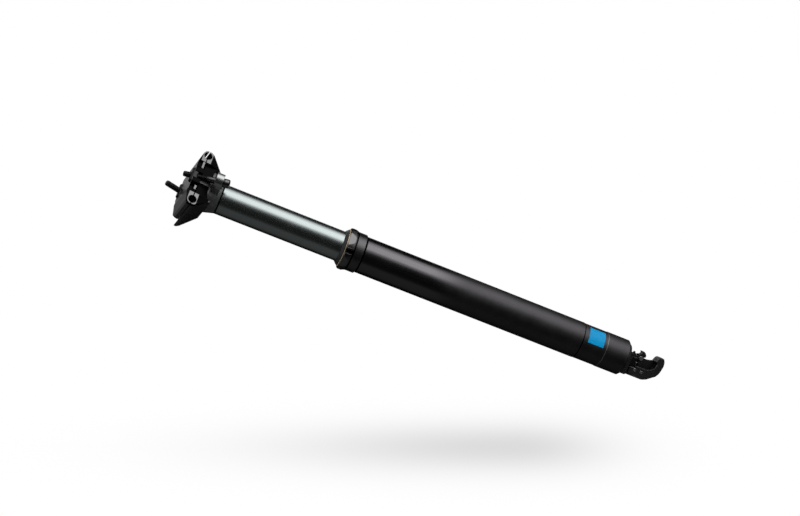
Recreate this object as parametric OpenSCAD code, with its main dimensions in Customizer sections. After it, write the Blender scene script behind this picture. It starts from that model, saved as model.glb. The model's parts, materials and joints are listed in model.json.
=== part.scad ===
// Telescopic bicycle seatpost, drawn fully raised, with a cable release at its foot.
// Z runs along the post towards the saddle, X points to the front of the bicycle, Y to the side.
// The origin lies on the axis at the collar's lower face, where the frame's seat tube ends.

/* [Outer tube] */
// Outside diameter of the outer tube, which fits the frame
tube_d = 31.6; // [30.9:0.1:34.9]
// Wall of the outer tube
tube_wall = 1.6; // [1.5:0.1:1.9]
// Length of the threaded neck inside the collar
tube_neck = 9; // [8:0.5:10]
// Free room under the fully lowered post
foot_room = 27.5; // [10:0.5:60]
// Depth of the recessed band near the foot
band_depth = 0.25; // [0.15:0.05:0.4]
// Height of the recessed band
band_h = 22; // [18:1:40]
// Distance from the tube's foot to the band
band_up = 21.5; // [14:0.5:40]
// Bevel at the tube's foot
tube_bevel = 1.2; // [0.4:0.1:1.4]
// Height of the plain coloured patch in the band
patch_h = 14.5; // [8:0.5:17]
// Angle round the tube that the patch covers
patch_arc = 56; // [30:1:120]
// Thickness of the patch
patch_t = 0.15; // [0.05:0.05:0.15]

/* [Collar] */
// How far the collar stands out from the tube
collar_step = 1.1; // [0.8:0.1:2]
// How far its grip ring stands out from the collar
grip_step = 0.9; // [0.5:0.1:1.5]
// Height of the collar below its grip ring
collar_body_h = 7.6; // [6:0.1:9]
// Height of the whole collar
collar_h = 14.9; // [14:0.1:18]
// Number of grip facets, with a tool notch between each two
grip_count = 5; // [4:1:7]
// Lean of the grip facets
facet_lean = 9; // [6:1:14]
// Width of a tool notch
notch_w = 4.4; // [3:0.1:6]
// Depth of a tool notch
notch_depth = 1.2; // [0.6:0.1:1.6]

/* [Wiper seal] */
// Height of the thin metal ring on the collar
accent_h = 0.7; // [0.5:0.1:1.2]
// Height of the rubber lip above the ring
wiper_h = 2.8; // [2:0.1:4]
// Height of the lubricating foam ring
foam_h = 4; // [2:0.5:5]

/* [Inner post] */
// Thickness of the guide bushings between the two tubes
guide_t = 1.2; // [1:0.05:1.6]
// Wall of the inner post
stanchion_wall = 2; // [1.7:0.1:2.2]
// How far the saddle drops
travel = 100; // [75:5:125]
// Height of the head above the collar's lower face when fully lowered
low_head_z = 25.7; // [22:0.1:40]
// Length of the inner post below the collar's lower face when raised
inside_len = 95; // [88:1:140]

/* [Guides] */
// Height of the upper guide bushing
bushing_h = 30; // [20:1:40]
// Height of the lower guide bushing
lower_bushing_h = 8; // [6:0.5:10]
// Number of keys that stop the post turning
key_count = 3; // [2:1:4]
// Width of a key
key_w = 3; // [2:0.1:4]
// Length of a key
key_len = 12; // [8:0.5:14]
// Depth of the key's pocket in the inner post
key_pocket = 1; // [0.7:0.1:1.2]
// Depth of the key groove in the outer tube
groove_depth = 0.7; // [0.5:0.1:0.8]
// Free play at each side of a key
key_play = 0.1; // [0.08:0.01:0.2]
// Radial clearance of a running fit
running_fit = 0.05; // [0.03:0.01:0.08]

/* [Gas cartridge] */
// Gap between the gas cylinder and the inner post
cylinder_gap = 1.5; // [1:0.1:2]
// Wall of the gas cylinder
cylinder_wall = 1.3; // [1:0.1:1.6]
// Diameter of the piston rod
rod_d = 10; // [8:0.1:11]
// Diameter of the rod's threaded stud
stud_d = 8; // [7:0.1:9]
// Diameter of the release pin inside the rod
pin_d = 3; // [2:0.1:3.4]
// Height of the main piston
piston_h = 8; // [6:0.5:12]
// Height of the floating piston
float_h = 8; // [6:0.5:12]
// Height of the gland that guides the rod
gland_h = 10.5; // [8:0.5:14]
// Height of the retainer nut under the inner post
retainer_h = 9; // [7:0.5:12]
// Length of the room for gas at the lowest position
gas_room = 12; // [6:1:30]
// Height of the plug in the tube's foot
plug_h = 14; // [10:0.5:16]

/* [Seatpost head] */
// Height of the rail axis above the head's lower face, on the post's axis
rail_above_head = 23.6; // [23:0.1:24.4]
// Height of the tilt axis above the head's lower face
tilt_axis_up = 32.8; // [32.4:0.1:33.4]
// Forward offset of the tilt axis
tilt_axis_x = 3; // [2.5:0.1:3.5]
// Radius of the round bed that the clamp rocks on
bed_r = 25.5; // [25:0.1:25.8]
// Front end of the bed block
bed_front = 17; // [16:0.5:18]
// Rear end of the bed block
bed_rear = -12; // [-13:0.5:-11.5]
// Width of the bed block
bed_w = 27; // [24:0.5:30]
// Radius of the ear round the front bolt
ear_r = 6.2; // [5.8:0.1:7]
// Radius of the lug round the rear bolt
lug_r = 5.8; // [5.6:0.1:6]
// Place of the front bolt's seat ahead of the axis
front_seat_x = 24.4; // [24:0.1:25.4]
// Height of the front bolt's seat above the head's lower face
front_seat_up = 2.2; // [1.6:0.1:3]
// Place of the rear bolt's seat, behind the axis
rear_seat_x = -18; // [-18.6:0.1:-17.6]
// Height of the rear bolt's seat above the head's lower face
rear_seat_up = 13.2; // [12.8:0.1:13.8]

/* [Saddle clamp] */
// Diameter of the saddle rails
rail_d = 7; // [7:0.1:7.4]
// Distance between the two rails
rail_spacing = 44; // [43:0.5:46]
// Angle of the clamp, nose down, as drawn
clamp_tilt = 8; // [6:0.5:10]
// Front end of both clamp halves, along the rails
clamp_front = 20; // [19.5:0.5:21]
// Rear end of the lower clamp
cradle_rear = 22.5; // [20:0.5:26]
// Rear end of the upper clamp
cover_rear = 15.5; // [14.5:0.5:18]
// Thickness of the upper clamp above the rail axis
cover_h = 6.3; // [6:0.1:7]
// Metal outside each rail
jaw_wall = 0.8; // [0.6:0.1:1.6]
// Half of the gap between the clamp halves
clamp_gap = 0.4; // [0.3:0.1:0.8]

/* [Clamp bolts] */
// Thread diameter of the clamp bolts
bolt_d = 5; // [4.6:0.1:5.2]
// Length of a bolt from its seat to its tip
bolt_len = 33.5; // [31:0.5:36]
// Thread pitch of the bolts
bolt_pitch = 0.8; // [0.7:0.1:1]
// Length of the bolt's thread
thread_len = 22; // [18:1:26]
// Diameter of the bolt head
bolt_head_d = 7.4; // [7:0.1:8.4]
// Height of the bolt head
bolt_head_h = 5; // [4:0.1:5.4]
// Width across the flats of the hexagon socket
socket_af = 4; // [3:0.5:4.5]
// Diameter of the round cross nuts
nut_d = 7; // [6.8:0.1:7.2]
// Length of the cross nuts
nut_len = 11.7; // [10.4:0.1:12.4]
// Free play of a bolt in its cross nut
bolt_play = 0.3; // [0.28:0.01:0.4]
// Radius of the round seat washers
washer_r = 4; // [3.8:0.1:4.2]
// Length of the seat washers
washer_len = 8; // [7.6:0.1:8.6]

/* [Release mechanism] */
// Turn of the mechanism round the post, from the front
mech_turn = 57; // [0:1:360]
// Inside width between the two cheeks
slot_w = 6.8; // [6.4:0.1:7.4]
// Thickness of each cheek
cheek_t = 3; // [2.4:0.1:3.2]
// Thickness of the lever
lever_t = 6; // [5:0.1:6.2]
// How far the bracket stands back from the outer tube's surface
bracket_step = 2.6; // [2.2:0.1:3]
// Thickness of the bracket's top plate
bracket_plate_t = 5.5; // [5:0.1:6]
// Place of the lever's pivot to the side of the post's axis
pivot_x = 4.8; // [4.6:0.1:5]
// Depth of the lever's pivot below the tube's foot
pivot_down = 14.1; // [13.9:0.1:14.5]
// Diameter of the lever's pivot pin
pivot_d = 3; // [2.6:0.1:3.2]
// Diameter of the cable housing that the horn takes
housing_d = 5; // [4.8:0.1:5.2]
// Depth of the housing's socket in the horn
housing_socket = 4; // [3.5:0.1:4.5]
// Diameter of the inner cable's hole
cable_hole_d = 2; // [1.6:0.1:2.4]
// Distance of the cable from the post's axis
cable_x = 8.6; // [8.5:0.1:8.8]
// Width across the flats of the rod nut
rod_nut_af = 13; // [12:0.5:13]
// Height of the rod nut
rod_nut_h = 4.8; // [4:0.1:4.8]

/* [Hidden] */
$fn = 96;
// A small length by which cutters pass the face that they cut
past = 1;
// Clearance of parts that are bonded or pressed together
bond = 0.02;

// Radii of the tubes
tube_r = tube_d / 2;
bore_r = tube_r - tube_wall;
stanchion_r = bore_r - guide_t;
stanchion_bore = stanchion_r - stanchion_wall;
cylinder_r = stanchion_bore - cylinder_gap;
cylinder_bore = cylinder_r - cylinder_wall;
rod_r = rod_d / 2;
stud_r = stud_d / 2;
spigot_r = rod_r - 2;
pin_r = pin_d / 2;
bolt_r = bolt_d / 2;
nut_r = nut_d / 2;
pivot_r = pivot_d / 2;

// Heights along the post
head_z = low_head_z + travel;
stanchion_foot = -inside_len;
retainer_foot = stanchion_foot - retainer_h;
retainer_lip = 3;
foot_z = -(inside_len + retainer_h + travel + foot_room + plug_h);
plug_top = foot_z + plug_h;
cylinder_foot = retainer_foot + retainer_lip;
gland_top = cylinder_foot + gland_h;
piston_foot = gland_top + 0.3;
piston_top = piston_foot + piston_h;
// The floating piston moves by the share of the bore that the rod fills
float_share = pow(rod_r / cylinder_bore, 2);
float_foot = piston_top + 2 + travel * (1 - float_share);
cylinder_top = piston_top + 2 + travel + float_h + gas_room + cylinder_wall;

// Threaded neck of the tube
neck_r = tube_r - 0.8;
neck_crest = tube_r - 0.45;
neck_pitch = 1.5;
neck_start = 1.8;
collar_r = tube_r + collar_step;
grip_r = collar_r + grip_step;
collar_bore = neck_crest + 0.1;
oring_wire = 0.35;
oring_z = 0.3 + oring_wire;
oring_seat_r = neck_r + 2 * oring_wire + 2 * bond;
oring_seat_h = oring_z + oring_wire + 0.2;
seal_r = neck_r + 0.1;
seal_seat = tube_neck + 0.1;
accent_top = collar_h + accent_h;
wiper_top = accent_top + wiper_h;
bushing_top = tube_neck - foam_h - 0.3;
bushing_foot = bushing_top - bushing_h;

// Keys and their grooves
key_top = stanchion_foot + lower_bushing_h + key_len + 1;
key_in = stanchion_r - key_pocket;
groove_r = bore_r + groove_depth;
key_out = groove_r - 0.3;
groove_foot = retainer_foot - travel;
groove_top = bushing_foot - 4;

// Tilt axis and rail axis
rail_z = head_z + rail_above_head;
tilt_z = head_z + tilt_axis_up;
rail_r = rail_d / 2;
rail_y = rail_spacing / 2;
jaw_y = rail_y + rail_r + jaw_wall;
flat_y = rail_y - rail_r;
cradle_fit = 0.1;

// Cross nuts in the clamp, along and above the rails
front_nut_at = [17.8, 4.6];
rear_nut_at = [-12.7, 4.6];
nut_fit = 0.05;
slot_half = bolt_r + 0.6;
slot_back = 5;
function clamp_point(p) = [
    p[0] * cos(clamp_tilt) + p[1] * sin(clamp_tilt),
    rail_z - p[0] * sin(clamp_tilt) + p[1] * cos(clamp_tilt)];
front_nut = clamp_point(front_nut_at);
rear_nut = clamp_point(rear_nut_at);
front_seat = [front_seat_x, head_z + front_seat_up];
rear_seat = [rear_seat_x, head_z + rear_seat_up];
function lean(seat, nut) = atan2(nut[0] - seat[0], nut[1] - seat[1]);
front_lean = lean(front_seat, front_nut);
rear_lean = lean(rear_seat, rear_nut);
seat_lift = 0.6;
washer_fit = 0.08;
head_room = 0.5;

// Release mechanism, in its own frame: x to the cable side, y away from the open cheek
bracket_r = tube_r - bracket_step;
mech_half = slot_w / 2;
mech_out = mech_half + cheek_t;
plate_foot = foot_z - bracket_plate_t;
rod_nut_foot = plate_foot - rod_nut_h;
stud_foot = rod_nut_foot - 0.5;
pin_foot = foot_z - 13.3;
pin_stroke = 2.1;
rivet_d = 2;
rivet_x = -6.3;
rivet_heights = [-11.4, -17.7];
pivot_at = [pivot_x, -pivot_down];
nose_r = 1.4;
nose_at = [0.2, -13.4 - nose_r];
hub_r = 2.8;
horn_foot = -34.4;
socket_top = horn_foot + housing_socket;
web_foot = -30;

module ring(r_out, r_in, z_low, z_high) {
    difference() {
        translate([0, 0, z_low]) cylinder(r = r_out, h = z_high - z_low);
        translate([0, 0, z_low - past]) cylinder(r = r_in, h = z_high - z_low + 2 * past);
    }
}

module round_key_ring(count) {
    for (i = [0 : count - 1]) rotate([0, 0, i * 360 / count + 90]) children();
}

// Outer tube with its neck thread, key grooves and recessed band
module lower_tube() {
    threads = floor((tube_neck - neck_start - 0.4) / neck_pitch);
    neck_line = [for (i = [0 : threads - 1], s = [0 : 2]) [
        s == 1 ? neck_crest : neck_r,
        neck_start + (i + s / 2) * neck_pitch]];
    outline = concat(
        [[bore_r, foot_z], [tube_r - tube_bevel, foot_z], [tube_r, foot_z + tube_bevel],
        [tube_r, foot_z + band_up], [tube_r - band_depth, foot_z + band_up],
        [tube_r - band_depth, foot_z + band_up + band_h], [tube_r, foot_z + band_up + band_h],
        [tube_r, 0], [neck_r, 0]],
        neck_line,
        [[neck_r, tube_neck], [bore_r, tube_neck]]);
    color("dimgray") difference() {
        rotate_extrude() polygon(outline);
        round_key_ring(key_count)
            translate([0, -key_w / 2 - key_play, groove_foot])
                cube([groove_r, key_w + 2 * key_play, groove_top - groove_foot]);
    }
}

// Plain coloured patch that lies in the band, on the front
module label_patch() {
    patch_z = foot_z + band_up + (band_h - patch_h) / 2 - 0.6;
    patch_in = tube_r - band_depth;
    color("deepskyblue") rotate([0, 0, -patch_arc / 2]) translate([0, 0, patch_z])
        rotate_extrude(angle = patch_arc)
            translate([patch_in, 0]) square([patch_t, patch_h]);
}

// Threaded collar with a grip ring, facets and tool notches
module collar() {
    taper = 2.4;
    edge = 0.5;
    outline = [
        [collar_bore, oring_seat_h], [oring_seat_r, oring_seat_h], [oring_seat_r, 0],
        [collar_r - edge, 0], [collar_r, edge],
        [collar_r, collar_body_h], [grip_r, collar_body_h + taper],
        [grip_r, collar_h - edge], [grip_r - edge, collar_h],
        [seal_r, collar_h], [seal_r, seal_seat], [collar_bore, seal_seat]];
    facet_out = grip_r - 1.15;
    rib_w = 1.2;
    rib_proud = 0.2;
    rib_foot = collar_body_h + taper + 0.4;
    rib_top = collar_h - edge - 0.3;
    color("dimgray") difference() {
        union() {
            rotate_extrude() polygon(outline);
            for (i = [0 : grip_count - 1], s = [-1, 1])
                rotate([0, 0, (i + 0.5) * 360 / grip_count])
                    translate([seal_r + 1, s * notch_w / 2 - rib_w / 2, rib_foot])
                        cube([grip_r + rib_proud - seal_r - 1, rib_w, rib_top - rib_foot]);
        }
        for (i = [0 : grip_count - 1]) rotate([0, 0, i * 360 / grip_count]) {
            translate([facet_out, 0, collar_h]) rotate([0, -facet_lean, 0])
                translate([0, -tube_r, -collar_h]) cube([tube_r, tube_d, 2 * collar_h]);
            rotate([0, 0, 180 / grip_count])
                translate([grip_r - notch_depth, -notch_w / 2, collar_body_h + 1])
                    cube([tube_r, notch_w, collar_h]);
        }
    }
}

module collar_oring() {
    color("black") rotate_extrude()
        translate([neck_r + oring_wire + bond, oring_z]) circle(r = oring_wire);
}

// Thin metal ring on the collar's top face
module accent_ring() {
    color("darkgoldenrod") ring(tube_r + 0.2, seal_r, collar_h, accent_top);
}

// Rubber wiper seal: a body inside the collar and a lip on the inner post
module wiper_seal() {
    lip_r = stanchion_r + running_fit;
    body_r = seal_r - bond;
    relief = 0.5;
    color([0.09, 0.09, 0.09]) rotate_extrude() polygon([
        [lip_r, wiper_top], [lip_r + 0.4, wiper_top], [tube_r - 0.1, accent_top + 0.5],
        [tube_r - 0.1, accent_top], [body_r, accent_top], [body_r, seal_seat],
        [lip_r, seal_seat], [lip_r, seal_seat + 1], [lip_r + relief, seal_seat + 2],
        [lip_r + relief, wiper_top - 2], [lip_r, wiper_top - 1]]);
}

module foam_ring() {
    color("tan") ring(bore_r - bond, stanchion_r + 0.3, bushing_top + 0.2, tube_neck - 0.1);
}

module upper_bushing() {
    color("darkolivegreen") ring(bore_r - bond, stanchion_r + running_fit, bushing_foot, bushing_top);
}

// Plug in the tube's foot that carries the piston rod
module base_plug() {
    color("gray") ring(bore_r - bond, stud_r + bond, foot_z, plug_top);
}

// Hollow piston rod with a threaded stud at its foot and a spigot in the piston
module piston_rod() {
    pin_bore = pin_r + running_fit;
    pin_bore_top = piston_foot - 2;
    color("silver") rotate_extrude() polygon([
        [pin_bore, stud_foot], [stud_r, stud_foot], [stud_r, plug_top], [rod_r, plug_top],
        [rod_r, piston_foot], [spigot_r, piston_foot], [spigot_r, piston_top],
        [0, piston_top], [0, pin_bore_top], [pin_bore, pin_bore_top]]);
}

module main_piston() {
    color("goldenrod") ring(cylinder_bore - running_fit, spigot_r + bond, piston_foot, piston_top);
}

module rod_nut() {
    color("silver") difference() {
        translate([0, 0, rod_nut_foot])
            cylinder(d = rod_nut_af / cos(30), h = rod_nut_h, $fn = 6);
        translate([0, 0, rod_nut_foot - past]) cylinder(r = stud_r + bond, h = rod_nut_h + 2 * past);
    }
}

// Inner post: a plain tube with key pockets near its foot
module stanchion() {
    color([0.34, 0.37, 0.38]) difference() {
        ring(stanchion_r, stanchion_bore, stanchion_foot, head_z);
        round_key_ring(key_count)
            translate([key_in, -key_w / 2, key_top - key_len])
                cube([stanchion_r, key_w, key_len]);
    }
}

module anti_rotation_keys() {
    color("goldenrod") round_key_ring(key_count)
        translate([key_in, -key_w / 2 + bond, key_top - key_len + bond])
            cube([key_out - key_in, key_w - 2 * bond, key_len - 2 * bond]);
}

module lower_bushing() {
    color("darkolivegreen") ring(bore_r - running_fit, stanchion_r + bond,
        stanchion_foot, stanchion_foot + lower_bushing_h);
}

// Closed tube that holds the oil and gas, open only at the gland
module gas_cylinder() {
    color("lightsteelblue") difference() {
        translate([0, 0, cylinder_foot]) cylinder(r = cylinder_r, h = cylinder_top - cylinder_foot);
        translate([0, 0, cylinder_foot - past])
            cylinder(r = cylinder_bore, h = cylinder_top - cylinder_wall - cylinder_foot + past);
    }
}

module rod_gland() {
    color("dimgray") ring(cylinder_bore - bond, rod_r + running_fit, cylinder_foot, gland_top);
}

// Nut that holds the cylinder in the inner post's foot
module cylinder_retainer() {
    spigot_h = 8;
    lip_r = rod_r + 1.5;
    color("gray") {
        ring(stanchion_r, cylinder_r + bond, retainer_foot, stanchion_foot);
        ring(stanchion_bore - bond, cylinder_r + bond, stanchion_foot - 0.5,
            stanchion_foot + spigot_h);
        ring(stanchion_r, lip_r, retainer_foot, cylinder_foot);
    }
}

// Plastic ring that centres the cylinder's upper end
module centring_ring() {
    ring_h = 6;
    ring_z = cylinder_top - 2 * ring_h;
    color("whitesmoke") ring(stanchion_bore - bond, cylinder_r + bond, ring_z, ring_z + ring_h);
}

// Puck that parts the oil below from the gas above, cupped on the gas side
module floating_piston() {
    cup_wall = 2;
    color("silver") difference() {
        translate([0, 0, float_foot]) cylinder(r = cylinder_bore - running_fit, h = float_h);
        translate([0, 0, float_foot + float_h / 2])
            cylinder(r = cylinder_bore - running_fit - cup_wall, h = float_h);
    }
}

// Places of the two clamp bolts and of the clamp
module at_bolt(seat, angle) {
    translate([seat[0], 0, seat[1]]) rotate([0, angle, 0]) children();
}

module in_clamp() {
    translate([0, 0, rail_z]) rotate([0, clamp_tilt, 0]) children();
}

module cross_rod(r, len) {
    rotate([90, 0, 0]) cylinder(r = r, h = len, center = true);
}

// Pocket for a seat washer, its bolt and the bolt's head
module bolt_seat_cut(seat, angle) {
    translate([seat[0], 0, seat[1]]) cross_rod(washer_r + washer_fit, washer_len + 0.6);
    at_bolt(seat, angle) {
        translate([0, 0, -bolt_head_h - 4 * past])
            cylinder(r = bolt_head_d / 2 + head_room, h = bolt_head_h + 4 * past + seat_lift);
        cylinder(r = bolt_r + 0.8, h = bolt_len);
    }
}

// Forged head: neck, round bed, front ear and rear lug
module seatpost_head() {
    spigot_len = 28;
    spigot_bore = stanchion_bore - 2;
    corner = 5;
    bed_block_top = 12.4;
    ear_h = 6.3;
    lug_h = 5;
    color([0.13, 0.13, 0.14]) difference() {
        union() {
            translate([0, 0, head_z - spigot_len])
                cylinder(r = stanchion_bore - bond, h = spigot_len + past);
            hull() {
                translate([0, 0, head_z]) cylinder(r = stanchion_r, h = 2.2, $fn = 64);
                for (x = [bed_rear + corner, bed_front - corner], s = [-1, 1])
                    translate([x, s * (bed_w / 2 - corner), head_z + 10])
                        cylinder(r = corner, h = bed_block_top - 10, $fn = 32);
            }
            hull() {
                translate([front_seat[0] + 0.6, 0, front_seat[1] + seat_lift])
                    cylinder(r = ear_r, h = ear_h, $fn = 48);
                translate([stanchion_r / 2, -ear_r - 1, front_seat[1] + seat_lift])
                    cube([3, 2 * ear_r + 2, ear_h + 1]);
            }
            hull() {
                translate([rear_seat[0], 0, rear_seat[1] + seat_lift])
                    cylinder(r = lug_r, h = lug_h, $fn = 48);
                translate([bed_rear + 1, -lug_r - 1, head_z + 4]) cube([3, 2 * lug_r + 2, 6]);
            }
        }
        translate([0, 0, head_z - spigot_len - past]) cylinder(r = spigot_bore, h = spigot_len + past);
        intersection() {
            translate([tilt_axis_x, 0, tilt_z]) cross_rod(bed_r, 2 * bed_w);
            translate([bed_rear - 0.5, -bed_w, head_z]) cube([2 * bed_w, 2 * bed_w, 2 * bed_w]);
        }
        bolt_seat_cut(front_seat, front_lean);
        bolt_seat_cut(rear_seat, rear_lean);
    }
}

module rail_cuts(z) {
    for (s = [-1, 1]) translate([0, s * rail_y, z]) rotate([0, 90, 0])
        cylinder(r = rail_r, h = 4 * clamp_front + 2 * cradle_rear, center = true);
}

// Lower clamp: a cradle with two rail troughs that rocks on the head's bed
module lower_clamp() {
    block = clamp_front + cradle_rear;
    rim = 1.8;
    skirt = 4.6;
    root_y = bed_w / 2 - 0.3;
    root_front = 15;
    root_rear = bed_rear - 2.4;
    root_depth = 17;
    web_rear = -7.5;
    front_face = clamp_front - 3;
    tilt_in_clamp = [
        tilt_axis_x * cos(clamp_tilt) - (tilt_z - rail_z) * sin(clamp_tilt),
        tilt_axis_x * sin(clamp_tilt) + (tilt_z - rail_z) * cos(clamp_tilt)];
    color([0.12, 0.12, 0.13]) in_clamp() difference() {
        hull() {
            translate([-cradle_rear, -jaw_y, -clamp_gap - rim]) cube([block, 2 * jaw_y, rim]);
            translate([-cradle_rear + 0.5, -jaw_y + 1.5, -skirt])
                cube([block - 0.5, 2 * jaw_y - 3, skirt - clamp_gap]);
            translate([root_rear, -root_y, -root_depth])
                cube([root_front - root_rear, 2 * root_y, root_depth - skirt]);
        }
        rail_cuts(0);
        // round underside that follows the bed
        difference() {
            translate([-2 * block, -bed_w / 2 - 1, -3 * bed_r])
                cube([4 * block, bed_w + 2, 3 * bed_r + tilt_in_clamp[1]]);
            translate([tilt_in_clamp[0], 0, tilt_in_clamp[1]])
                cross_rod(bed_r - cradle_fit, 2 * bed_w);
        }
        // room for the rear lug and both bolts
        translate([-block, -lug_r - 0.9, -block])
            cube([block + web_rear, 2 * lug_r + 1.8, 2 * block]);
        translate([front_nut_at[0] - slot_back, -slot_half, -block])
            cube([block, 2 * slot_half, 2 * block]);
        translate([front_face, -flat_y + 3, -block])
            cube([block, 2 * flat_y - 6, 2 * block]);
        // lowered middle under the upper clamp
        translate([-block, -flat_y + 3, -1.2]) cube([2 * block, 2 * flat_y - 6, block]);
    }
}

// Upper clamp: a plate over both rails with seats for the cross nuts
module upper_clamp() {
    nose = 1.8;
    tail = 3;
    flat_top = 13.4;
    jaw_top = rail_r + jaw_wall;
    half_line = [[jaw_y, clamp_gap], [jaw_y, 1.4], [jaw_y - 1, 3.1],
        [rail_y + 1, jaw_top], [rail_y - 2, jaw_top + 0.6], [flat_top, cover_h]];
    cross_line = concat(half_line,
        [for (i = [len(half_line) - 1 : -1 : 0]) [-half_line[i][0], half_line[i][1]]]);
    corner = 4.3;
    nose_y = nut_len / 2 + 1.2;
    jaw_in = rail_y - 6.8;
    pocket_depth = 2;
    pocket_z = 3.9;
    pocket_h = 3.6;
    plan = [
        [clamp_front, -jaw_y], [clamp_front, -nose_y - nose], [clamp_front + nose, -nose_y],
        [clamp_front + nose, nose_y], [clamp_front, nose_y + nose], [clamp_front, jaw_y],
        [-cover_rear + corner, jaw_y], [-cover_rear, jaw_y - corner], [-cover_rear, nose_y + tail],
        [-cover_rear - tail, nose_y], [-cover_rear - tail, -nose_y],
        [-cover_rear, -nose_y - tail], [-cover_rear, -jaw_y + corner],
        [-cover_rear + corner, -jaw_y]];
    color([0.22, 0.22, 0.23]) in_clamp() difference() {
        union() {
            intersection() {
                translate([0, 0, clamp_gap]) linear_extrude(cover_h - clamp_gap) polygon(plan);
                rotate([90, 0, 90]) translate([0, 0, -2 * clamp_front])
                    linear_extrude(4 * clamp_front) polygon(cross_line);
            }
            translate([-cover_rear - tail, -nose_y, -0.6])
                cube([cover_rear + tail + clamp_front + nose, 2 * nose_y, 2]);
        }
        rail_cuts(0);
        for (p = [front_nut_at, rear_nut_at]) translate([p[0], 0, p[1]]) {
            cross_rod(nut_r + nut_fit, nut_len + 0.3);
            translate([-nut_r - nut_fit, -nut_len / 2 - 0.15, 0])
                cube([2 * (nut_r + nut_fit), nut_len + 0.3, cover_h]);
        }
        translate([front_nut_at[0] - slot_back, -slot_half, -past - 1])
            cube([2 * clamp_front, 2 * slot_half, 3 * cover_h]);
        translate([-2 * cradle_rear, -slot_half, -past - 1])
            cube([2 * cradle_rear + rear_nut_at[0] + slot_back, 2 * slot_half, 3 * cover_h]);
        // shallow pockets in the front face
        for (s = [-1, 1]) translate([clamp_front, s * (jaw_in + nose_y + nose) / 2, pocket_z])
            cube([2 * pocket_depth, jaw_in - nose_y - nose, pocket_h], center = true);
    }
}

// Socket head bolt along Z with its seat at the origin
module clamp_bolt() {
    turns = floor(thread_len / bolt_pitch);
    root_r = bolt_r - 0.6 * bolt_pitch;
    thread_line = [for (i = [0 : turns - 1], s = [0, 1]) [
        s == 0 ? root_r : bolt_r,
        bolt_len - 0.6 - (i + s / 2) * bolt_pitch]];
    difference() {
        rotate_extrude() polygon(concat(
            [[0, -bolt_head_h], [bolt_head_d / 2 - 0.4, -bolt_head_h],
            [bolt_head_d / 2, -bolt_head_h + 0.4], [bolt_head_d / 2, 0], [bolt_r, 0],
            [bolt_r, bolt_len - thread_len - 1]],
            [for (i = [len(thread_line) - 1 : -1 : 0]) thread_line[i]],
            [[root_r - 0.3, bolt_len], [0, bolt_len]]));
        translate([0, 0, -bolt_head_h - past])
            cylinder(d = socket_af / cos(30), h = bolt_head_h / 2 + past, $fn = 6);
    }
}

module front_bolt() {
    color("black") at_bolt(front_seat, front_lean) clamp_bolt();
}

module rear_bolt() {
    color("black") at_bolt(rear_seat, rear_lean) clamp_bolt();
}

// Half round washer whose back rocks in the head
module seat_washer() {
    difference() {
        cross_rod(washer_r, washer_len);
        translate([-2 * washer_r, -washer_len, -4 * washer_r])
            cube([4 * washer_r, 2 * washer_len, 4 * washer_r]);
        translate([0, 0, -past]) cylinder(r = bolt_r + bond, h = 2 * washer_r);
    }
}

module front_washer() {
    color("gray") at_bolt(front_seat, front_lean) seat_washer();
}

module rear_washer() {
    color("gray") at_bolt(rear_seat, rear_lean) seat_washer();
}

// Round nut that lies across the clamp
module cross_nut() {
    difference() {
        cross_rod(nut_r, nut_len);
        translate([0, 0, -nut_d]) cylinder(r = bolt_r + bolt_play, h = 2 * nut_d);
    }
}

module front_cross_nut() {
    color([0.2, 0.2, 0.2]) at_bolt(front_nut, front_lean) cross_nut();
}

module rear_cross_nut() {
    color([0.2, 0.2, 0.2]) at_bolt(rear_nut, rear_lean) cross_nut();
}

// Frame of the release mechanism: x to the cable side, z up from the tube's foot
module in_mech() {
    translate([0, 0, foot_z]) rotate([0, 0, mech_turn]) children();
}

module side_extrude(y_low, y_high) {
    translate([0, y_high, 0]) rotate([90, 0, 0]) linear_extrude(y_high - y_low) children();
}

// Outer outline of the bracket from the closed side round to the horn
foot_line = [[-12.1, -20], [-10.4, -24.2], [-5.2, -31.2], [-2.6, -32.9], [0, -33.8],
    [5.2, horn_foot - 0.4], [8.8, horn_foot], [11.5, horn_foot + 1.4], [12, horn_foot + 3.8],
    [11.6, horn_foot + 4.8], [10.2, horn_foot + 5.8], [7.2, horn_foot + 7]];

module cheek_outline() {
    polygon(concat([[-12.1, -3]], foot_line,
        [[6.4, -25], [6, -23], [6, -11], [8.9, -9.6], [8.7, -8.9], [6.2, -8.2], [6, -3]]));
}

module hook_outline() {
    polygon(concat([[-12.1, -5.4]], foot_line,
        [[5, web_foot + 0.6], [1.4, web_foot + 1.8], [-1, -25.6], [-2.6, -21.6], [-2.6, -9],
        [-4.6, -5.4]]));
}

module web_outline() {
    polygon(concat([[-12.1, -3]], foot_line,
        [[5, web_foot], [1, web_foot + 0.6], [-3.2, web_foot + 2.6], [-7.2, -21.6], [-9, -18],
        [-9, -3]]));
}

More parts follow.
